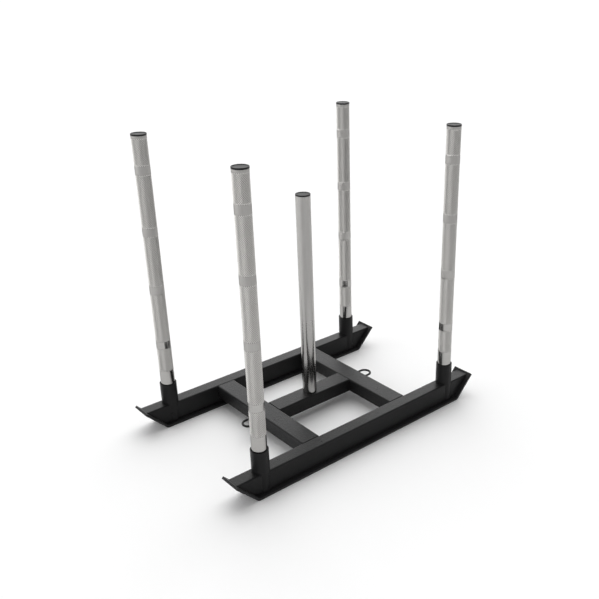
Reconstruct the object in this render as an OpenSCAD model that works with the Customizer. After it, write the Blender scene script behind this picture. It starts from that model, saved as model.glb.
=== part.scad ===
// Push sled: two runners on bent skid plates, two crossbars and a centre beam welded
// from one rectangular tube, four sockets that pass down through the runners, four
// uprights that lift out of them, a fixed post for weight plates and two tow eyes.
// X runs along the runners towards the front, +Y is the left side and Z is up.
// The origin is on the floor under the middle of the sled.

/* [Frame tube] */
// Narrow side of the rectangular frame tube
tube_w = 50; // [44:1:60]
// Wide side of the rectangular frame tube
tube_h = 70; // [60:1:90]
// Wall of the frame tube
tube_wall = 3; // [2:0.5:5]
// Outside corner radius of the frame tube
tube_corner = 5; // [3:0.5:8]

/* [Footprint] */
// Distance between the centre lines of the two runners
track = 550; // [450:1:700]
// Length of a runner along its top
runner_len = 1021; // [960:1:1200]
// Slope of the runner ends above the floor
end_angle = 46; // [35:1:60]
// Distance between the centre lines of the two crossbars
crossbar_spread = 386; // [250:1:500]

/* [Skid plates] */
// Width of a skid plate
skid_w = 80; // [70:1:110]
// Thickness of a skid plate
skid_t = 8; // [5:0.5:12]
// Inside radius of the bend at each end of a skid plate
skid_bend = 8; // [4:0.5:16]
// Height of the skid plate's inner edge above the top of the runner
skid_lip = 6; // [0:0.5:20]

/* [Sockets] */
// Distance from the end of a runner's flat underside to the centre line of its socket
socket_inset = 35; // [34:1:80]
// Wall of a socket
socket_wall = 3.5; // [2.5:0.5:6]
// Play between an upright and its socket, all round
socket_play = 0.85; // [0.4:0.05:1.5]
// Height of a socket above the top of the runner
socket_rise = 75.5; // [40:0.5:120]
// Bevel that leads an upright into its socket
socket_bevel = 1.5; // [0.5:0.5:2]

/* [Posts] */
// Outside diameter of an upright where it is plain
upright_d = 48.3; // [42:0.1:50]
// Outside diameter of the weight post
weight_post_d = 50; // [42:0.1:50]
// Wall of the uprights and of the weight post
post_wall = 3; // [2:0.5:4]
// Length of an upright's tube
upright_len = 1001; // [600:1:1200]
// Length of the weight post's tube
weight_post_len = 725; // [300:1:900]

/* [Knurling] */
// Height of the knurl's crests above the plain tube
knurl_rise = 0.3; // [0.1:0.05:0.4]
// Plain length at the bottom of an upright
plain_foot = 194; // [150:1:250]
// Plain length at the top of an upright
plain_head = 7; // [2:1:30]
// Distance between the middles of two plain rings in the knurling
ring_pitch = 200; // [100:1:300]
// Width of a plain ring
ring_w = 25; // [10:1:40]

/* [Caps] */
// Height that a cap adds to its post
cap_t = 5; // [3:0.5:8]
// How far an upright's cap stands out past its plain tube, all round
cap_over = 0.5; // [0:0.05:0.6]
// Length of a cap's plug inside its post
cap_plug = 24; // [12:1:40]
// Width of a cap's raised rim
cap_rim = 4; // [2:0.5:8]
// Depth of the dish inside a cap's rim
cap_dish = 1.5; // [0.5:0.25:2]
// Wall of a cap's plug
cap_wall = 2; // [1.5:0.25:3]

/* [Tow eyes] */
// Diameter of a tow eye's round bar
eye_bar = 8; // [6:0.5:12]
// Radius of a tow eye's bend, to the middle of the bar
eye_bend = 21; // [16:0.5:30]
// Distance from the crossbar to the centre of a tow eye's bend
eye_reach = 37; // [10:1:60]

/* [Hidden] */
$fn = 96;
// Gap between pieces that lift apart
seat_gap = 0.3;
// Gap round a piece that is pushed in or through before it is fixed
slip = 0.1;
// Excess that a cutting shape has past the faces that it cuts
over = 1;
tube_inner_corner = max(0.5, tube_corner - tube_wall);
deck_z = skid_t + tube_h;
floor_z = skid_t + tube_wall;
crossbar_len = track - tube_w;
beam_len = crossbar_spread - tube_h;
member_z = deck_z - tube_w / 2;
socket_id = upright_d + 2 * socket_play;
socket_od = socket_id + 2 * socket_wall;
socket_top = deck_z + socket_rise;
upright_z = floor_z + seat_gap;
post_edge = post_wall / 6;
knurl_top = upright_len - plain_head;
// Where the knurling starts, the middle of each ring and where it stops
band_ends = [
  plain_foot,
  for (z = [plain_foot + ring_pitch / 2 : ring_pitch : knurl_top - ring_w]) z,
  knurl_top
];
// Where the flat upper face of a skid plate would meet its slope, without the bend
corner_x = runner_len / 2 - tube_h / tan(end_angle);
bend_x = corner_x - skid_bend * tan(end_angle / 2);
bend_z = skid_t + skid_bend;
tip_z = deck_z + skid_lip;
tip_x = corner_x + (tip_z - skid_t) / tan(end_angle);
socket_x = corner_x - socket_inset;

// Rectangle with rounded corners, centred
module rounded(w, h, r) {
  square([w - 2 * r, h], center = true);
  square([w, h - 2 * r], center = true);
  for (x = [-1, 1], y = [-1, 1])
    translate([x * (w / 2 - r), y * (h / 2 - r)])
      circle(r = r);
}

// Hollow section of the frame tube, with the wide side along Y
module tube_section() {
  difference() {
    rounded(tube_w, tube_h, tube_corner);
    rounded(tube_w - 2 * tube_wall, tube_h - 2 * tube_wall, tube_inner_corner);
  }
}

// Side view of the space above a surface that lies t below the skid plate's upper face:
// flat between the two bends and sloped outside them, up to the height top
module cradle(t, top) {
  outer_x = corner_x + t * tan(end_angle / 2);
  bottom = skid_t - t;
  top_x = outer_x + (top - bottom) / tan(end_angle);
  reach = 2 * (skid_bend + t);
  difference() {
    polygon([[-outer_x, bottom], [outer_x, bottom], [top_x, top], [-top_x, top]]);
    for (m = [0, 1])
      mirror([m, 0])
        translate([bend_x, bend_z])
          difference() {
            polygon([
              [0, 0], [0, -reach], [reach * tan(end_angle / 2), -reach],
              [reach * sin(end_angle), -reach * cos(end_angle)],
            ]);
            circle(r = skid_bend + t);
          }
  }
}

// Side view of what is cut off square beyond the tips of a skid plate
module beyond_tips() {
  for (m = [0, 1])
    mirror([m, 0])
      translate([tip_x, tip_z])
        rotate(end_angle)
          translate([0, -tube_h])
            square(2 * tube_h);
}

// Side view drawn along X, made w wide across Y
module across(w) {
  rotate([90, 0, 0])
    linear_extrude(height = w, center = true)
      children();
}

// Frame tube that stands on its narrow side, its ends cut to fit the skid plate's slopes
// and bends, with a notch for each socket that leaves the bottom wall whole
module runner(side) {
  color("#222426")
    translate([0, side * track / 2, 0])
      difference() {
        intersection() {
          translate([0, 0, skid_t + tube_h / 2])
            rotate([90, 0, 90])
              linear_extrude(height = runner_len, center = true)
                tube_section();
          across(tube_w + 2 * over)
            cradle(0, deck_z + over);
        }
        for (end = [-1, 1])
          translate([end * socket_x, 0, floor_z])
            cylinder(d = socket_od + 2 * slip, h = tube_h);
      }
}

// Flat bar bent up at both ends, its tips cut square
module skid(side) {
  color("#2a2c2e")
    translate([0, side * track / 2, 0])
      across(skid_w)
        difference() {
          cradle(skid_t, tip_z + tube_h);
          cradle(0, tip_z + 2 * tube_h);
          beyond_tips();
        }
}

// Frame tube laid flat between the runners, its top level with theirs
module crossbar(end) {
  color("#222426")
    translate([end * crossbar_spread / 2, 0, member_z])
      rotate([90, 0, 0])
        linear_extrude(height = crossbar_len, center = true)
          rotate(90)
            tube_section();
}

module centre_beam() {
  color("#222426")
    translate([0, 0, member_z])
      rotate([90, 0, 90])
        linear_extrude(height = beam_len, center = true)
          rotate(90)
            tube_section();
}

module at_socket(end, side) {
  translate([end * socket_x, side * track / 2, 0])
    children();
}

module socket(end, side) {
  height = socket_top - floor_z;
  color("#1f2123")
    at_socket(end, side)
      translate([0, 0, floor_z])
        difference() {
          cylinder(d = socket_od, h = height);
          translate([0, 0, -over])
            cylinder(d = socket_id, h = height + 2 * over);
          translate([0, 0, height - socket_bevel])
            cylinder(d1 = socket_id, d2 = socket_id + 2 * socket_bevel, h = socket_bevel);
        }
}

// Round tube with its sharp outer edges broken
module post_tube(r, length) {
  rotate_extrude()
    polygon([
      [r - post_wall, 0], [r - post_edge, 0], [r, post_edge],
      [r, length - post_edge], [r - post_edge, length], [r - post_wall, length],
    ]);
}

// The crests of one knurled band between two heights of its upright
module knurled_band(low, high) {
  r = upright_d / 2;
  crest = r + knurl_rise;
  rotate_extrude()
    polygon([
      [r - over, low], [r, low], [crest, low + knurl_rise],
      [crest, high - knurl_rise], [r, high], [r - over, high],
    ]);
}

// Moulded plug with a raised rim round a shallow dish, open underneath, for a tube of
// radius r, its rim standing out past the tube by over_r
module post_cap(r, over_r) {
  rim_r = r + over_r;
  plug_r = r - post_wall - slip;
  round_r = cap_t / 4;
  rotate_extrude() {
    polygon([
      [0, 0], [plug_r - cap_wall, 0], [plug_r - cap_wall, -cap_plug],
      [plug_r - cap_wall / 2, -cap_plug], [plug_r, -cap_plug + cap_wall],
      [plug_r, 0], [rim_r, 0],
      for (a = [0 : 15 : 90]) [rim_r - round_r * (1 - cos(a)), cap_t - round_r * (1 - sin(a))],
      [rim_r - cap_rim, cap_t], [rim_r - cap_rim - cap_dish / 2, cap_t - cap_dish],
      [0, cap_t - cap_dish],
    ]);
  }
}

// Tube with knurled bands between plain rings, plain at both ends
module upright(end, side) {
  color("#b9b8b4")
    at_socket(end, side)
      translate([0, 0, upright_z])
        union() {
          post_tube(upright_d / 2, upright_len);
          for (i = [0 : len(band_ends) - 2])
            knurled_band(band_ends[i] + (i > 0 ? ring_w / 2 : 0),
                         band_ends[i + 1] - (i < len(band_ends) - 2 ? ring_w / 2 : 0));
        }
}

module upright_cap(end, side) {
  color("#161718")
    at_socket(end, side)
      translate([0, 0, upright_z + upright_len])
        post_cap(upright_d / 2, cap_over);
}

module weight_post() {
  color("#c9c9c9")
    translate([0, 0, deck_z])
      post_tube(weight_post_d / 2, weight_post_len);
}

module weight_post_cap() {
  color("#161718")
    translate([0, 0, deck_z + weight_post_len])
      post_cap(weight_post_d / 2, 0);
}

// Round bar bent to a U, its two legs standing on the crossbar's outer face
module tow_eye(end) {
  color("#2a2c2e")
    rotate([0, 0, end > 0 ? 0 : 180])
      translate([crossbar_spread / 2 + tube_h / 2, 0, member_z]) {
        for (y = [-1, 1])
          translate([0, y * eye_bend, 0])
            rotate([0, 90, 0])
              cylinder(d = eye_bar, h = eye_reach);
        translate([eye_reach, 0, 0])
          rotate([0, 0, -90])
            rotate_extrude(angle = 180)
              translate([eye_bend, 0])
                circle(d = eye_bar);
      }
}

runner(1);  // runner_left
runner(-1);  // runner_right
skid(1);  // skid_left
skid(-1);  // skid_right
crossbar(1);  // crossbar_front
crossbar(-1);  // crossbar_rear
centre_beam();
socket(1, 1);  // socket_front_left
socket(1, -1);  // socket_front_right
socket(-1, 1);  // socket_rear_left
socket(-1, -1);  // socket_rear_right
upright(1, 1);  // upright_front_left
upright(1, -1);  // upright_front_right
upright(-1, 1);  // upright_rear_left
upright(-1, -1);  // upright_rear_right
upright_cap(1, 1);  // cap_front_left
upright_cap(1, -1);  // cap_front_right
upright_cap(-1, 1);  // cap_rear_left
upright_cap(-1, -1);  // cap_rear_right
weight_post();
weight_post_cap();
tow_eye(1);  // tow_eye_front
tow_eye(-1);  // tow_eye_rear
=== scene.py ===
import math

import bmesh
import bpy
from mathutils import Matrix, Vector


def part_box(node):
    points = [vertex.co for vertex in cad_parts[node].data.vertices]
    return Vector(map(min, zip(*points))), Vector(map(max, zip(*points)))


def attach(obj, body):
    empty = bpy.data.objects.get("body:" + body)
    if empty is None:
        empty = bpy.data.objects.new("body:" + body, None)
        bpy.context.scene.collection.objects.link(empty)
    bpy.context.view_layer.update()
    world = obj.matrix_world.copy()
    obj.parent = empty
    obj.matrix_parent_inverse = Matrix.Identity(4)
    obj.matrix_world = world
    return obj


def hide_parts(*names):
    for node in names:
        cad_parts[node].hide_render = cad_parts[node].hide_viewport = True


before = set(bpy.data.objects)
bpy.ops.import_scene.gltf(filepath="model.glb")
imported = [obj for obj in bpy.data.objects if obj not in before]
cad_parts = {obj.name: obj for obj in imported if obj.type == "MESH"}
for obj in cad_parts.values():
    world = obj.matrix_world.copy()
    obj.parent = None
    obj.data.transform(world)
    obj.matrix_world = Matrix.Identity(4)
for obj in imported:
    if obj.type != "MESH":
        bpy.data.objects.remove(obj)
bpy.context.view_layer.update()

# Sizes that the frame's boxes don't give, in metres and radians
TUBE_CORNER = 0.005
TUBE_WALL = 0.003
END_SLOPE = math.radians(46)
SKID_T = 0.008
SKID_BEND = 0.008
SOCKET_PLAY = 0.00085
SOCKET_BEVEL = 0.0015
POST_WALL = 0.003
EYE_BAR = 0.008
EYE_REACH = 0.037
SLIP = 0.0001

# How far the edges of each kind of piece are broken
EDGE_BREAK = 0.0006
SKID_BREAK = 0.0008
BAR_BREAK = 0.001

# A post's cap: its rim round a dish, and the plug under it
CAP_RIM = 0.004
CAP_DISH = 0.0015
CAP_EDGE = 0.001
CAP_CHAMFER = 0.0003
DISH_FILLET = 0.0006
PLUG_WALL = 0.002
PLUG_NOSE_IN = 0.001
PLUG_NOSE_UP = 0.002

# The knurled bands of an upright, between its plain rings
PLAIN_FOOT = 0.194
PLAIN_HEAD = 0.007
RING_PITCH = 0.2
RING_WIDTH = 0.025
KNURL_RISE = 0.0003
KNURL_DEPTH = 0.0012
KNURL_COLUMNS = 54
KNURL_ROW = 0.0032

# How dark the painted shade on a knurl's borders is, between a crest at 0 and the bottom of
# a groove at 1
BORDER_SHADE = 0.85

# How finely pieces are turned and bent
TURN_STEPS = 96
POST_TURN_STEPS = 128
BEND_CUTS = 4

# The angles from which an edge looks sharp and gets broken, and how close points are merged
# or taken to lie on a line
SHARP_ANGLE = math.radians(35)
CORNER_ANGLE = math.radians(50)
MERGE_WITHIN = 1e-6
NEAR = 1e-5

# The photograph's camera, in pixels, metres and radians
IMAGE_PX = 599
FOCAL_PX = 791.0
CENTRE_PX = (370.27, 307.86)
CAMERA_AT = (-1.5078, -1.9822, 1.5147)
LOOK_AZIMUTH = math.radians(47.72)
LOOK_DOWN = math.radians(24.12)
SENSOR_MM = 36
CLIP_END = 200

# The studio: walls that are white at the floor and fade to the room's level between two
# heights, each the upward part of a direction of length 1
WHITE = 1.0
ROOM_LEVEL = 0.24
WALL_FADE = (0.15, 0.4)
FLOOR_HALF_WIDTH = 60
FLOOR_COLOUR = (0.96, 0.96, 0.96, 1)

# Two broad soft lights, turned to the left of the way the camera looks, in degrees
SOFT_LIGHTS = (
    {"turn": 0, "height": 44, "half_width": 56, "strength": 2.57},
    {"turn": 98, "height": 0, "half_width": 56, "strength": 1.76},
)

# How far each finish drifts to both sides of its colour, how much of the steel's drift comes
# from its streaks, what they do to its roughness, and how steeply the painted shade in a
# knurl's grooves darkens
COAT_SWING = 0.2
STEEL_SWING = 0.14
STREAK_TONE = 0.9
STREAK_GLOSS = 0.08
GROOVE_FALL = 2.0
COAT_SPECULAR = 0.113

ENDS = {"front": 1, "rear": -1}
SIDES = ("left", "right")


# Shader groups

def new_group(name, inputs, outputs):
    """An empty shader group with its sockets, and the nodes for its two ends."""
    group = bpy.data.node_groups.new(name, "ShaderNodeTree")
    for label, kind, value in inputs:
        socket = group.interface.new_socket(label, in_out="INPUT", socket_type=kind)
        socket.default_value = value
    for label, kind in outputs:
        group.interface.new_socket(label, in_out="OUTPUT", socket_type=kind)
    return group, group.nodes.new("NodeGroupInput"), group.nodes.new("NodeGroupOutput")


def add(tree, kind, links=None, **values):
    """A node with its sockets set by label or number: plain values set, sockets linked."""
    node = tree.nodes.new(kind)
    for key, value in values.items():
        setattr(node, key, value)
    for key, value in (links or {}).items():
        if isinstance(value, bpy.types.NodeSocket):
            tree.links.new(value, node.inputs[key])
        else:
            node.inputs[key].default_value = value
    return node


def maths(tree, operation, a, b):
    """Result of one operation on two numbers or sockets."""
    return add(tree, "ShaderNodeMath", {0: a, 1: b}, operation=operation).outputs[0]


def blend(tree, share, first, second):
    """Colour between two, by a share from 0 to 1; each of the two is a colour or a socket."""
    node = add(tree, "ShaderNodeMix", {0: share}, data_type="RGBA")
    for socket, value in zip([s for s in node.inputs if s.type == "RGBA"], (first, second)):
        if isinstance(value, bpy.types.NodeSocket):
            tree.links.new(value, socket)
        else:
            socket.default_value = (*value, 1)
    return next(s for s in node.outputs if s.type == "RGBA")


def grain_group():
    """Fine bumps and a slow drift of gloss, as on powder coat or moulded plastic."""
    group, inside, outside = new_group(
        "surface_grain",
        [("Grain Size", "NodeSocketFloat", 0.001), ("Depth", "NodeSocketFloat", 0.00002),
         ("Drift Size", "NodeSocketFloat", 0.08), ("Gloss Drift", "NodeSocketFloat", 0.05),
         ("Roughness", "NodeSocketFloat", 0.5)],
        [("Roughness", "NodeSocketFloat"), ("Normal", "NodeSocketVector"),
         ("Drift", "NodeSocketFloat")])
    place = add(group, "ShaderNodeTexCoord").outputs["Object"]
    fine = add(group, "ShaderNodeTexNoise",
               {"Vector": place, "Scale": maths(group, "DIVIDE", 1.0, inside.outputs["Grain Size"]),
                "Detail": 4.0, "Roughness": 0.55})
    slow = add(group, "ShaderNodeTexNoise",
               {"Vector": place, "Scale": maths(group, "DIVIDE", 1.0, inside.outputs["Drift Size"]),
                "Detail": 3.0, "Roughness": 0.55})
    drift = maths(group, "SUBTRACT", slow.outputs["Fac"], 0.5)
    speckle = maths(group, "SUBTRACT", fine.outputs["Fac"], 0.5)
    both = maths(group, "ADD", drift, maths(group, "MULTIPLY", speckle, 0.5))
    rough = maths(group, "ADD", inside.outputs["Roughness"],
                  maths(group, "MULTIPLY", both, inside.outputs["Gloss Drift"]))
    bump = add(group, "ShaderNodeBump",
               {"Height": fine.outputs["Fac"], "Strength": 1.0,
                "Distance": inside.outputs["Depth"]})
    group.links.new(rough, outside.inputs["Roughness"])
    group.links.new(bump.outputs["Normal"], outside.inputs["Normal"])
    group.links.new(drift, outside.inputs["Drift"])
    return group


def streak_group():
    """Marks drawn out along Z, as a turned and plated tube has from handling."""
    group, inside, outside = new_group(
        "drawn_streaks",
        [("Width", "NodeSocketFloat", 0.002), ("Stretch", "NodeSocketFloat", 40.0)],
        [("Mask", "NodeSocketFloat")])
    place = add(group, "ShaderNodeTexCoord").outputs["Object"]
    flat = add(group, "ShaderNodeCombineXYZ",
               {"X": 1.0, "Y": 1.0, "Z": maths(group, "DIVIDE", 1.0, inside.outputs["Stretch"])})
    squeezed = add(group, "ShaderNodeVectorMath", {0: place, 1: flat.outputs[0]},
                   operation="MULTIPLY")
    noise = add(group, "ShaderNodeTexNoise",
                {"Vector": squeezed.outputs[0],
                 "Scale": maths(group, "DIVIDE", 1.0, inside.outputs["Width"]),
                 "Detail": 4.0, "Roughness": 0.6})
    group.links.new(noise.outputs["Fac"], outside.inputs["Mask"])
    return group


GRAIN = grain_group()
STREAKS = streak_group()


def placed(tree, group, values):
    """A group's node in one material, with its own values."""
    node = tree.nodes.new("ShaderNodeGroup")
    node.node_tree = group
    for key, value in values.items():
        node.inputs[key].default_value = value
    return node


def new_material(name):
    """An empty material, its node tree and its shader."""
    material = bpy.data.materials.new(name)
    material.use_nodes = True
    return material, material.node_tree, material.node_tree.nodes["Principled BSDF"]


def shades(colour, swing):
    """The darker and the lighter shade that a finish drifts between."""
    return [c * (1 - swing) for c in colour], [c * (1 + swing) for c in colour]


def powder_coat(name, colour, roughness):
    """Black powder coat: matt, with a fine skin and a slow drift of tone."""
    material, tree, shader = new_material(name)
    grain = placed(tree, GRAIN, {"Grain Size": 0.0038, "Depth": 0.0009, "Drift Size": 0.06,
                                 "Gloss Drift": 0.12, "Roughness": roughness})
    share = maths(tree, "ADD", grain.outputs["Drift"], 0.5)
    tone = blend(tree, share, *shades(colour, COAT_SWING))
    tree.links.new(tone, shader.inputs["Base Color"])
    tree.links.new(grain.outputs["Roughness"], shader.inputs["Roughness"])
    tree.links.new(grain.outputs["Normal"], shader.inputs["Normal"])
    shader.inputs["Specular IOR Level"].default_value = COAT_SPECULAR
    return material


def plated_steel(name, colour, roughness, turned=0.0, groove_shade=None, painted_light_band=None, painted_light_factor=1.0,
                 frosted=0.0, rim=1.0):
    """Bright plated tube with faint drawn streaks. Turning marks round the tube draw its
    reflections out along Z, and a groove colour is painted as shade into the knurl's grooves.
    Between two given heights its colour comes to be multiplied by a factor, a painted light where
    the factor is over 1 and a painted shade where it is under 1, and its roughness rises by
    frosted. Rim is how bright it stays where it is seen at a flat angle."""
    material, tree, shader = new_material(name)
    streaks = placed(tree, STREAKS, {"Width": 0.0016, "Stretch": 60.0})
    grain = placed(tree, GRAIN, {"Grain Size": 0.0007, "Depth": 0.000003, "Drift Size": 0.04,
                                 "Gloss Drift": 0.05, "Roughness": roughness})
    streak = streaks.outputs["Mask"]
    mark = maths(tree, "MULTIPLY", maths(tree, "SUBTRACT", streak, 0.5), STREAK_GLOSS)
    rough = maths(tree, "ADD", grain.outputs["Roughness"], mark)
    tone = maths(tree, "ADD", maths(tree, "MULTIPLY", streak, STREAK_TONE), (1 - STREAK_TONE) / 2)
    plain = blend(tree, tone, *shades(colour, STEEL_SWING))
    # Painted light over 1 and painted shade under 1: between the two heights the colour is scaled
    # by the factor, and the roughness rises
    if painted_light_band:
        point = add(tree, "ShaderNodeTexCoord").outputs["Object"]
        height = add(tree, "ShaderNodeSeparateXYZ", {"Vector": point}).outputs["Z"]
        painted_light_share = add(tree, "ShaderNodeMapRange", {"Value": height, "From Min": painted_light_band[0],
                                                "From Max": painted_light_band[1]}).outputs["Result"]
        rough = maths(tree, "ADD", rough, maths(tree, "MULTIPLY", painted_light_share, frosted))
        painted_light_tone = blend(tree, tone, *shades([c * painted_light_factor for c in colour], STEEL_SWING))
        plain = blend(tree, painted_light_share, plain, painted_light_tone)
    # Painted shade: the knurl's grooves are darkened by each point's share of shade
    if groove_shade:
        depth = add(tree, "ShaderNodeAttribute", attribute_name="groove_shade").outputs["Fac"]
        plain = blend(tree, maths(tree, "POWER", depth, GROOVE_FALL), plain, groove_shade)
    tree.links.new(plain, shader.inputs["Base Color"])
    tree.links.new(rough, shader.inputs["Roughness"])
    tree.links.new(grain.outputs["Normal"], shader.inputs["Normal"])
    shader.inputs["Metallic"].default_value = 1.0
    shader.inputs["Specular Tint"].default_value = (rim, rim, rim, 1)
    shader.inputs["Anisotropic"].default_value = turned
    if turned:
        tree.links.new(add(tree, "ShaderNodeCombineXYZ", {"Z": 1.0}).outputs[0],
                       shader.inputs["Tangent"])
    return material


def moulded_plastic(name, colour, roughness, specular):
    """Black plastic with the fine grain of its mould."""
    material, tree, shader = new_material(name)
    grain = placed(tree, GRAIN, {"Grain Size": 0.0006, "Depth": 0.00002, "Drift Size": 0.02,
                                 "Gloss Drift": 0.08, "Roughness": roughness})
    tree.links.new(grain.outputs["Roughness"], shader.inputs["Roughness"])
    tree.links.new(grain.outputs["Normal"], shader.inputs["Normal"])
    shader.inputs["Base Color"].default_value = (*colour, 1)
    shader.inputs["Specular IOR Level"].default_value = specular
    return material


COAT_BLACK = (0.0130, 0.0130, 0.0134)
FRAME_COAT = powder_coat("frame_powder_coat", COAT_BLACK, 0.30)
# The skid's powder coat is painted lighter than the frame's, standing in for light on its ledge
# beside the runner
SKID_COAT_PAINTED_LIGHTER = powder_coat("skid_powder_coat_painted_lighter", (0.024, 0.024, 0.0245), 0.34)
SOCKET_COAT = powder_coat("socket_powder_coat", COAT_BLACK, 0.30)
EYE_COAT = powder_coat("tow_eye_powder_coat", COAT_BLACK, 0.30)
# The knurled steel's groove colour is painted shade, laid into its grooves
KNURLED_STEEL = plated_steel("knurled_plated_steel", (0.645, 0.633, 0.614), 0.30,
                             groove_shade=(0.176, 0.173, 0.167))
# The plain steel is painted darker and the weight post's chrome painted lighter towards the top, as
# painted shade and painted light; both grow rougher there
SMOOTH_STEEL = plated_steel("smooth_plated_steel", (0.40, 0.392, 0.381), 0.15, turned=0.4,
                            painted_light_band=(0.3, 0.6), painted_light_factor=0.96, frosted=0.4, rim=0.6)
POST_CHROME = plated_steel("post_chrome", (0.353, 0.347, 0.339), 0.15, turned=0.45,
                           painted_light_band=(0.3, 0.5), painted_light_factor=1.24, frosted=0.4)
CAP_PLASTIC = moulded_plastic("cap_plastic", (0.019, 0.019, 0.0195), 0.5, 0.12)


# Pieces

def finish_piece(name, bm, materials, node, body):
    """Makes the piece that stands for one CAD node and puts it on that node's body. Edges
    sharpen by their angle, which clears the ones marked before, so these are marked again."""
    mesh = bpy.data.meshes.new(name)
    bmesh.ops.recalc_face_normals(bm, faces=bm.faces)
    bm.edges.index_update()
    marked = [edge.index for edge in bm.edges if not edge.smooth]
    bm.to_mesh(mesh)
    bm.free()
    for material in materials:
        mesh.materials.append(material)
    piece = bpy.data.objects.new(name, mesh)
    bpy.context.scene.collection.objects.link(piece)
    mesh.set_sharp_from_angle(angle=SHARP_ANGLE)
    for index in marked:
        mesh.edges[index].use_edge_sharp = True
    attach(piece, body)
    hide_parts(node)
    return piece


def even_normals(piece):
    """Large flat faces keep a flat look beside their rounded edges."""
    weighted = piece.modifiers.new("even_normals", "WEIGHTED_NORMAL")
    weighted.weight = 100
    weighted.keep_sharp = True


def smooth_all(bm):
    """Shades every face smooth, up to the edges that finish_piece marks as sharp."""
    for face in bm.faces:
        face.smooth = True


def new_verts(grown):
    """The points among what an extrusion made."""
    return [g for g in grown if isinstance(g, bmesh.types.BMVert)]


def new_rim(grown):
    """The open edges among what an extrusion made."""
    return [g for g in grown if isinstance(g, bmesh.types.BMEdge) and g.is_boundary]


def break_corners(bm, width):
    """Rounds the edges at which faces meet in a corner."""
    bmesh.ops.recalc_face_normals(bm, faces=bm.faces)
    edges = [e for e in bm.edges if len(e.link_faces) == 2 and e.calc_face_angle() > CORNER_ANGLE]
    bmesh.ops.bevel(bm, geom=edges, offset=width, offset_type="OFFSET", segments=3,
                    profile=0.5, affect="EDGES", material=-1, clamp_overlap=True)


def tube_bar(low, high, along):
    """Rectangular tube between two corners, its four long edges rounded."""
    bm = bmesh.new()
    across = [i for i in range(3) if i != along]
    corners = []
    for a, b in ((0, 0), (1, 0), (1, 1), (0, 1)):
        point = list(low)
        point[across[0]] = (low, high)[a][across[0]]
        point[across[1]] = (low, high)[b][across[1]]
        corners.append(bm.verts.new(point))
    bm.faces.new(corners)
    bmesh.ops.bevel(bm, geom=list(bm.verts), offset=TUBE_CORNER, offset_type="OFFSET", segments=8,
                    profile=0.5, affect="VERTICES", material=-1)
    grown = bmesh.ops.extrude_face_region(bm, geom=list(bm.faces), use_keep_orig=True)["geom"]
    travel = Vector((0, 0, 0))
    travel[along] = high[along] - low[along]
    bmesh.ops.translate(bm, vec=travel, verts=new_verts(grown))
    return bm


def cut(bm, point, normal):
    """Removes what lies beyond a plane and closes the end."""
    result = bmesh.ops.bisect_plane(bm, geom=list(bm.verts) + list(bm.edges) + list(bm.faces),
                                    plane_co=point, plane_no=normal, clear_outer=True)
    rim = [g for g in result["geom_cut"] if isinstance(g, bmesh.types.BMEdge)]
    if rim:
        bmesh.ops.edgeloop_fill(bm, edges=rim)


def lathe(profile, at, steps=TURN_STEPS):
    """Turned piece from (radius, height) points, open profile spun round the axis at one place."""
    bm = bmesh.new()
    points = [bm.verts.new((r, 0, z)) for r, z in profile]
    edges = [bm.edges.new(pair) for pair in zip(points, points[1:])]
    bmesh.ops.spin(bm, geom=points + edges, cent=(0, 0, 0), axis=(0, 0, 1), angle=math.tau,
                   steps=steps, use_merge=True)
    bmesh.ops.remove_doubles(bm, verts=bm.verts, dist=MERGE_WITHIN)
    bmesh.ops.translate(bm, vec=(*at, 0), verts=bm.verts)
    smooth_all(bm)
    return bm


def arc(centre, radius, start, stop, steps):
    """Points on an arc, angles in degrees."""
    turns = [math.radians(start + (stop - start) * i / steps) for i in range(steps + 1)]
    return [(centre[0] + radius * math.cos(t), centre[1] + radius * math.sin(t)) for t in turns]


def plain_radius(node):
    """Radius of a post's plain tube: an upright's box holds its knurling too."""
    low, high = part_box(node)
    return (high.x - low.x) / 2 - (KNURL_RISE if node.startswith("upright") else 0)


def axis_of(node):
    """Where a round piece's axis stands on the floor plan."""
    low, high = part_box(node)
    return ((low.x + high.x) / 2, (low.y + high.y) / 2)


def sole_end(side):
    """Where a runner's flat sole would meet its sloped end, and where the bend there starts."""
    low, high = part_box(f"runner_{side}")
    corner = high.x - (high.z - low.z) / math.tan(END_SLOPE)
    return corner, corner - SKID_BEND * math.tan(END_SLOPE / 2)


def notch_cutter(node, bottom):
    """A cylinder that cuts the notch for a socket in its runner, down to the bottom wall."""
    low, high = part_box(node)
    radius = (high.x - low.x) / 2 + SLIP
    height = high.z - bottom
    bm = bmesh.new()
    bmesh.ops.create_cone(bm, cap_ends=True, segments=TURN_STEPS, radius1=radius, radius2=radius,
                          depth=height)
    bmesh.ops.translate(bm, vec=(*axis_of(node), bottom + height / 2), verts=bm.verts)
    mesh = bpy.data.meshes.new(f"cutter_{node}")
    bm.to_mesh(mesh)
    bm.free()
    cutter = bpy.data.objects.new(mesh.name, mesh)
    bpy.context.scene.collection.objects.link(cutter)
    return cutter


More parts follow.
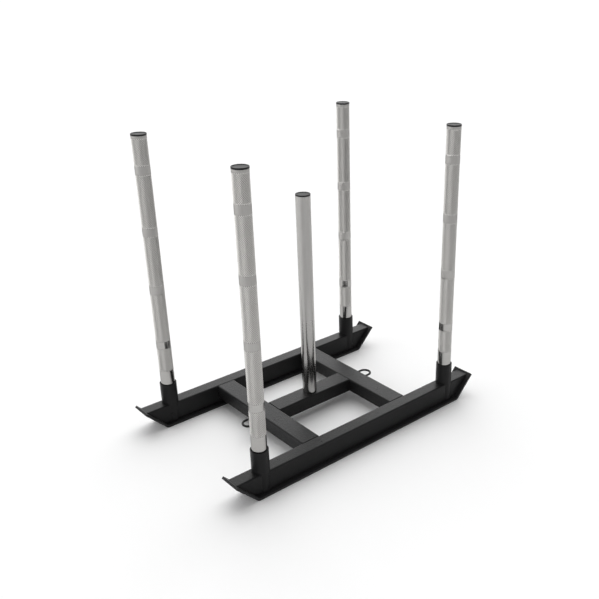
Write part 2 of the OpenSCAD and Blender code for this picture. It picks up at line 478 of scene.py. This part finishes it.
def runner(side):
    """Tube whose ends are cut to the slope and the bend of its skid plate, and notched for
    its sockets."""
    node = f"runner_{side}"
    low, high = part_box(node)
    bm = tube_bar(low, high, 0)
    _, bend_x = sole_end(side)
    bend = Vector((bend_x, 0, low.z + SKID_BEND))
    for way in ENDS.values():
        for step in range(BEND_CUTS, 0, -1):
            turn = END_SLOPE * (step / BEND_CUTS)
            out = Vector((math.sin(turn), 0, -math.cos(turn)))
            point = bend + out * SKID_BEND
            cut(bm, (way * point.x, (low.y + high.y) / 2, point.z), (way * out.x, 0, out.z))
    smooth_all(bm)
    piece = finish_piece(f"painted_{node}", bm, [FRAME_COAT], node, "frame")
    for end in ENDS:
        cutter = notch_cutter(f"socket_{end}_{side}", low.z + TUBE_WALL)
        notch = piece.modifiers.new("notch", "BOOLEAN")
        notch.operation = "DIFFERENCE"
        notch.object = cutter
        notch.solver = "EXACT"
        with bpy.context.temp_override(object=piece, active_object=piece, selected_objects=[piece]):
            bpy.ops.object.modifier_apply(modifier=notch.name)
        bpy.data.objects.remove(cutter)
    even_normals(piece)


def skid(side):
    """Flat bar bent up at both ends, drawn from the side and given its width."""
    node = f"skid_{side}"
    low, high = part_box(node)
    corner, bend_x = sole_end(side)
    bend_z = SKID_T + SKID_BEND
    degrees = math.degrees(END_SLOPE)
    inner = arc((bend_x, bend_z), SKID_BEND, -90, -90 + degrees, 8)
    outer = arc((bend_x, bend_z), SKID_BEND + SKID_T, -90, -90 + degrees, 12)
    top_x = corner + (high.z - SKID_T) / math.tan(END_SLOPE)
    tip = [(top_x, high.z),
           (top_x + SKID_T * math.sin(END_SLOPE), high.z - SKID_T * math.cos(END_SLOPE))]
    half = inner + tip + outer[::-1]
    outline = half + [(-x, z) for x, z in half[::-1]]
    bm = bmesh.new()
    face = bm.faces.new([bm.verts.new((x, low.y, z)) for x, z in outline])
    grown = bmesh.ops.extrude_face_region(bm, geom=[face], use_keep_orig=True)["geom"]
    bmesh.ops.translate(bm, vec=(0, high.y - low.y, 0), verts=new_verts(grown))
    break_corners(bm, SKID_BREAK)
    smooth_all(bm)
    piece = finish_piece(f"painted_{node}", bm, [SKID_COAT_PAINTED_LIGHTER], node, "frame")
    even_normals(piece)


def cross_member(node, along):
    """Crossbar or centre beam: tube laid flat, along X as 0 or Y as 1."""
    low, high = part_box(node)
    bm = tube_bar(low, high, along)
    break_corners(bm, BAR_BREAK)
    smooth_all(bm)
    piece = finish_piece(f"painted_{node}", bm, [FRAME_COAT], node, "frame")
    even_normals(piece)


def socket(end, side):
    """Round tube that an upright drops into, bevelled inside its mouth."""
    node = f"socket_{end}_{side}"
    low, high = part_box(node)
    outer = (high.x - low.x) / 2
    inner = plain_radius(f"upright_{end}_{side}") + SOCKET_PLAY
    lead = inner + SOCKET_BEVEL
    profile = [(inner, low.z), (outer, low.z)]
    profile += arc((outer - EDGE_BREAK, high.z - EDGE_BREAK), EDGE_BREAK, 0, 90, 4)
    profile += [(lead, high.z), (inner, high.z - SOCKET_BEVEL), (inner, low.z)]
    bm = lathe(profile, axis_of(node))
    piece = finish_piece(f"painted_{node}", bm, [SOCKET_COAT], node, "frame")
    even_normals(piece)


def knurled_bands(low, high):
    """Lower and upper border of each knurled band of an upright, between its plain rings."""
    borders = [low + PLAIN_FOOT]
    for ring in range(round((high - PLAIN_HEAD - borders[0]) / RING_PITCH)):
        centre = low + PLAIN_FOOT + RING_PITCH * (ring + 0.5)
        borders += [centre - RING_WIDTH / 2, centre + RING_WIDTH / 2]
    borders.append(high - PLAIN_HEAD)
    return list(zip(borders[::2], borders[1::2]))


def knurl_rows(low, high, bands):
    """Heights of an upright's rows of points, each with its depth below the plain tube and
    its kind: plain, the border of a knurled band, or crossed by crests and grooves."""
    rows = [(low, EDGE_BREAK, "plain"), (low + EDGE_BREAK, 0.0, "plain")]
    for start, stop in bands:
        count = round((stop - start) / KNURL_ROW)
        rows.append((start, 0.0, "border"))
        rows += [(start + (stop - start) * i / count, -KNURL_RISE, "knurl")
                 for i in range(1, count)]
        rows.append((stop, 0.0, "border"))
    rows += [(high - EDGE_BREAK, 0.0, "plain"), (high, EDGE_BREAK, "plain")]
    return rows


def wrap_knurl(bm, rows, radius):
    """Wraps a grid round the axis, with every second point of its knurled rows sunk. Gives
    the points that the grooves run through."""
    # Each point's share of painted groove shade: full in a pit, less on a border, none elsewhere
    groove_shade = bm.verts.layers.float.new("groove_shade")
    bmesh.ops.create_grid(bm, x_segments=KNURL_COLUMNS, y_segments=len(rows) - 1, size=0.5)
    grooves = []
    for vert in bm.verts:
        column = round((vert.co.x + 0.5) * KNURL_COLUMNS)
        row = round((vert.co.y + 0.5) * (len(rows) - 1))
        height, drop, kind = rows[row]
        odd = (column + row) % 2 == 1
        pit = kind == "knurl" and odd
        shade = BORDER_SHADE if kind == "border" else 0.0
        vert[groove_shade] = 1.0 if pit else shade
        reach = radius - drop - (KNURL_DEPTH if pit else 0)
        turn = math.tau * column / KNURL_COLUMNS
        vert.co = (reach * math.cos(turn), reach * math.sin(turn), height)
        beside = rows[max(row - 1, 0):row + 2]
        if odd and any(row_kind == "knurl" for _, _, row_kind in beside):
            grooves.append(vert)
    return grooves


def in_band(face, bands):
    """Whether a face lies in a knurled band, its borders included."""
    heights = [v.co.z for v in face.verts]
    return any(start - NEAR < min(heights) and max(heights) < stop + NEAR
               for start, stop in bands)


def add_bore(bm, low, high, radius):
    """Turns both ends of an upright's skin inwards and joins them by its bore."""
    lips = []
    for height in (low, high):
        rim = [e for e in bm.edges if e.is_boundary and abs(e.verts[0].co.z - height) < NEAR]
        grown = bmesh.ops.extrude_edge_only(bm, edges=rim)["geom"]
        for vert in new_verts(grown):
            vert.co.xy = vert.co.xy.normalized() * radius
        lips += new_rim(grown)
    bmesh.ops.bridge_loops(bm, edges=lips)


def upright(end, side):
    """Tube knurled with real cut diamonds, whose faces are flat, between smooth plain rings."""
    node = f"upright_{end}_{side}"
    low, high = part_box(node)
    radius = plain_radius(node)
    bands = knurled_bands(low.z, high.z)
    bm = bmesh.new()
    grooves = wrap_knurl(bm, knurl_rows(low.z, high.z, bands), radius)
    plain = [face for face in bm.faces if not in_band(face, bands)]
    bmesh.ops.connect_verts(bm, verts=grooves, faces_exclude=plain)
    bmesh.ops.remove_doubles(bm, verts=bm.verts, dist=MERGE_WITHIN)
    add_bore(bm, low.z, high.z, radius - POST_WALL)
    for face in bm.faces:
        face.smooth = not in_band(face, bands)
        face.material_index = 1 if face.smooth else 0
    for edge in bm.edges:
        edge.smooth = len({face.smooth for face in edge.link_faces}) == 1
    bmesh.ops.translate(bm, vec=(*axis_of(node), 0), verts=bm.verts)
    finish_piece(f"knurled_{node}", bm, [KNURLED_STEEL, SMOOTH_STEEL], node,
                 f"upright_{end}_{side}_lift")


def cap(node, post, body):
    """Moulded cap: a raised rim round a shallow dish, on a hollow plug with a tapered nose."""
    low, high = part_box(node)
    radius = (high.x - low.x) / 2
    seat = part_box(post)[1].z
    plug = plain_radius(post) - POST_WALL - SLIP
    dish_z = high.z - CAP_DISH
    rim_in = radius - CAP_RIM
    profile = [(0, seat), (plug - PLUG_WALL, seat), (plug - PLUG_WALL, low.z),
               (plug - PLUG_NOSE_IN, low.z), (plug, low.z + PLUG_NOSE_UP), (plug, seat),
               (radius - CAP_CHAMFER, seat), (radius, seat + CAP_CHAMFER)]
    profile += arc((radius - CAP_EDGE, high.z - CAP_EDGE), CAP_EDGE, 0, 90, 5)
    profile += arc((rim_in + CAP_EDGE, high.z - CAP_EDGE), CAP_EDGE, 90, 150, 4)
    profile += arc((rim_in - 2 * DISH_FILLET, dish_z + DISH_FILLET), DISH_FILLET, -20, -90, 3)
    profile += [(radius / 2, dish_z), (0, dish_z)]
    bm = lathe(profile, axis_of(node))
    piece = finish_piece(f"moulded_{node}", bm, [CAP_PLASTIC], node, body)
    even_normals(piece)


def weight_post():
    """Plain chromed tube, its edges broken outside."""
    node = "weight_post"
    low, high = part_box(node)
    radius = (high.x - low.x) / 2
    inner = radius - POST_WALL
    profile = [(inner, low.z), (radius - EDGE_BREAK, low.z)]
    profile += arc((radius - EDGE_BREAK, low.z + EDGE_BREAK), EDGE_BREAK, -90, 0, 4)[1:]
    profile += arc((radius - EDGE_BREAK, high.z - EDGE_BREAK), EDGE_BREAK, 0, 90, 4)
    profile += [(inner, high.z), (inner, low.z)]
    bm = lathe(profile, axis_of(node), POST_TURN_STEPS)
    piece = finish_piece("chromed_weight_post", bm, [POST_CHROME], node, "frame")
    even_normals(piece)


def draw_out(bm, edges, vec):
    """Draws a loop of edges out into a wall, and gives the wall's new rim."""
    grown = bmesh.ops.extrude_edge_only(bm, edges=edges)["geom"]
    bmesh.ops.translate(bm, vec=vec, verts=new_verts(grown))
    return new_rim(grown)


def tow_eye(end):
    """Round bar: one leg drawn out, turned through the bend, and drawn out again."""
    node = f"tow_eye_{end}"
    low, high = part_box(node)
    way = ENDS[end]
    foot = low.x if way > 0 else high.x
    bend_x = foot + way * EYE_REACH
    bend_r = (high.y - low.y - EYE_BAR) / 2
    level = (low.z + high.z) / 2
    bm = bmesh.new()
    bmesh.ops.create_circle(bm, cap_ends=False, segments=32, radius=EYE_BAR / 2)
    bmesh.ops.rotate(bm, cent=(0, 0, 0), matrix=Matrix.Rotation(math.pi / 2, 3, "Y"),
                     verts=bm.verts)
    bmesh.ops.translate(bm, vec=(foot, -bend_r, level), verts=bm.verts)
    rim = draw_out(bm, list(bm.edges), (way * EYE_REACH, 0, 0))
    verts = list({v for e in rim for v in e.verts})
    turned = bmesh.ops.spin(bm, geom=verts + rim, cent=(bend_x, 0, level), axis=(0, 0, way),
                            angle=math.pi, steps=24)
    last = [g for g in turned["geom_last"] if isinstance(g, bmesh.types.BMEdge)]
    draw_out(bm, last, (-way * EYE_REACH, 0, 0))
    bmesh.ops.holes_fill(bm, edges=[e for e in bm.edges if e.is_boundary])
    bmesh.ops.remove_doubles(bm, verts=bm.verts, dist=MERGE_WITHIN)
    smooth_all(bm)
    finish_piece(f"painted_{node}", bm, [EYE_COAT], node, "frame")


def build_sled():
    """Every piece of the sled, from the runners up."""
    for side in SIDES:
        runner(side)
        skid(side)
    for end in ENDS:
        cross_member(f"crossbar_{end}", 1)
        tow_eye(end)
    cross_member("centre_beam", 0)
    for end in ENDS:
        for side in SIDES:
            socket(end, side)
            upright(end, side)
            cap(f"cap_{end}_{side}", f"upright_{end}_{side}", f"upright_{end}_{side}_lift")
    weight_post()
    cap("weight_post_cap", "weight_post", "frame")


# Studio

def floor():
    """Plain pale floor, matt, so that it keeps the sled's soft shadow."""
    bm = bmesh.new()
    bmesh.ops.create_grid(bm, x_segments=1, y_segments=1, size=FLOOR_HALF_WIDTH)
    mesh = bpy.data.meshes.new("floor")
    bm.to_mesh(mesh)
    bm.free()
    plane = bpy.data.objects.new("floor", mesh)
    bpy.context.scene.collection.objects.link(plane)
    material, tree, shader = new_material("pale_floor")
    shader.inputs["Base Color"].default_value = FLOOR_COLOUR
    shader.inputs["Roughness"].default_value = 0.9
    shader.inputs["Specular IOR Level"].default_value = 0.0
    mesh.materials.append(material)


def studio_light():
    """The walls and the two soft lights, all painted into the world by direction."""
    world = bpy.data.worlds.new("studio")
    world.use_nodes = True
    tree = world.node_tree
    way = add(tree, "ShaderNodeTexCoord").outputs["Generated"]
    upward = add(tree, "ShaderNodeSeparateXYZ", {0: way}).outputs["Z"]
    wall = add(tree, "ShaderNodeMapRange",
               {"Value": upward, "From Min": WALL_FADE[0], "From Max": WALL_FADE[1],
                "To Min": WHITE, "To Max": ROOM_LEVEL},
               interpolation_type="SMOOTHSTEP")
    level = wall.outputs[0]
    for light in SOFT_LIGHTS:
        turn = LOOK_AZIMUTH + math.radians(light["turn"])
        height = math.radians(light["height"])
        rim = math.cos(math.radians(light["half_width"]))
        middle = (math.cos(height) * math.cos(turn), math.cos(height) * math.sin(turn),
                  math.sin(height))
        near = add(tree, "ShaderNodeVectorMath", {0: way, 1: middle}, operation="DOT_PRODUCT")
        glow = add(tree, "ShaderNodeMapRange",
                   {"Value": near.outputs["Value"], "From Min": rim, "From Max": 1.0,
                    "To Min": 0.0, "To Max": light["strength"]},
                   interpolation_type="SMOOTHSTEP")
        level = maths(tree, "ADD", glow.outputs[0], level)
    background = tree.nodes["Background"]
    background.inputs["Color"].default_value = (1, 1, 1, 1)
    tree.links.new(level, background.inputs["Strength"])
    bpy.context.scene.world = world


def camera():
    """The photograph's camera, whose picture was cut off centre."""
    data = bpy.data.cameras.new("camera")
    data.sensor_width = SENSOR_MM
    data.lens = FOCAL_PX / IMAGE_PX * SENSOR_MM
    data.shift_x = (IMAGE_PX / 2 - CENTRE_PX[0]) / IMAGE_PX
    data.shift_y = (CENTRE_PX[1] - IMAGE_PX / 2) / IMAGE_PX
    data.clip_end = CLIP_END
    holder = bpy.data.objects.new("camera", data)
    holder.location = CAMERA_AT
    holder.rotation_euler = (math.pi / 2 - LOOK_DOWN, 0, LOOK_AZIMUTH - math.pi / 2)
    bpy.context.scene.collection.objects.link(holder)
    bpy.context.scene.camera = holder


bpy.context.scene.view_settings.view_transform = "Standard"
camera()
studio_light()
floor()
build_sled()
